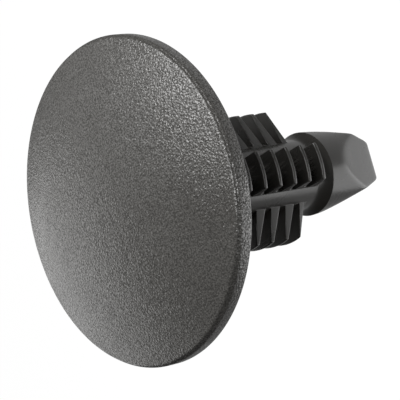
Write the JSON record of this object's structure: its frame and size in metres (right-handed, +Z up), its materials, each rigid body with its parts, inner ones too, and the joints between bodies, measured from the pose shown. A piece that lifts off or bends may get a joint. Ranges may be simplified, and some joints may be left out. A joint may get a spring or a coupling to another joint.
{
  "type": "plastic hole plug",
  "caption": "Push-in hole plug with a shallow domed head, a core carrying four columns of swept-back barbs, and a barrel with a faceted tip.",
  "frame": {"origin": "centre of the head's seating plane, on the shank's axis", "axes": "+Z up out of the dome along the shank's axis, the shank hangs along -Z, main barb columns on +Y and -Y, side barb columns on +X and -X"},
  "size_m": [0.03, 0.03, 0.0339],
  "materials": {
    "moulded_nylon": "satin shank, fine spark-eroded grain on the head"
  },
  "bodies": {
    "root": {"hole_plug": "moulded_nylon"}
  },
  "joints": []
}
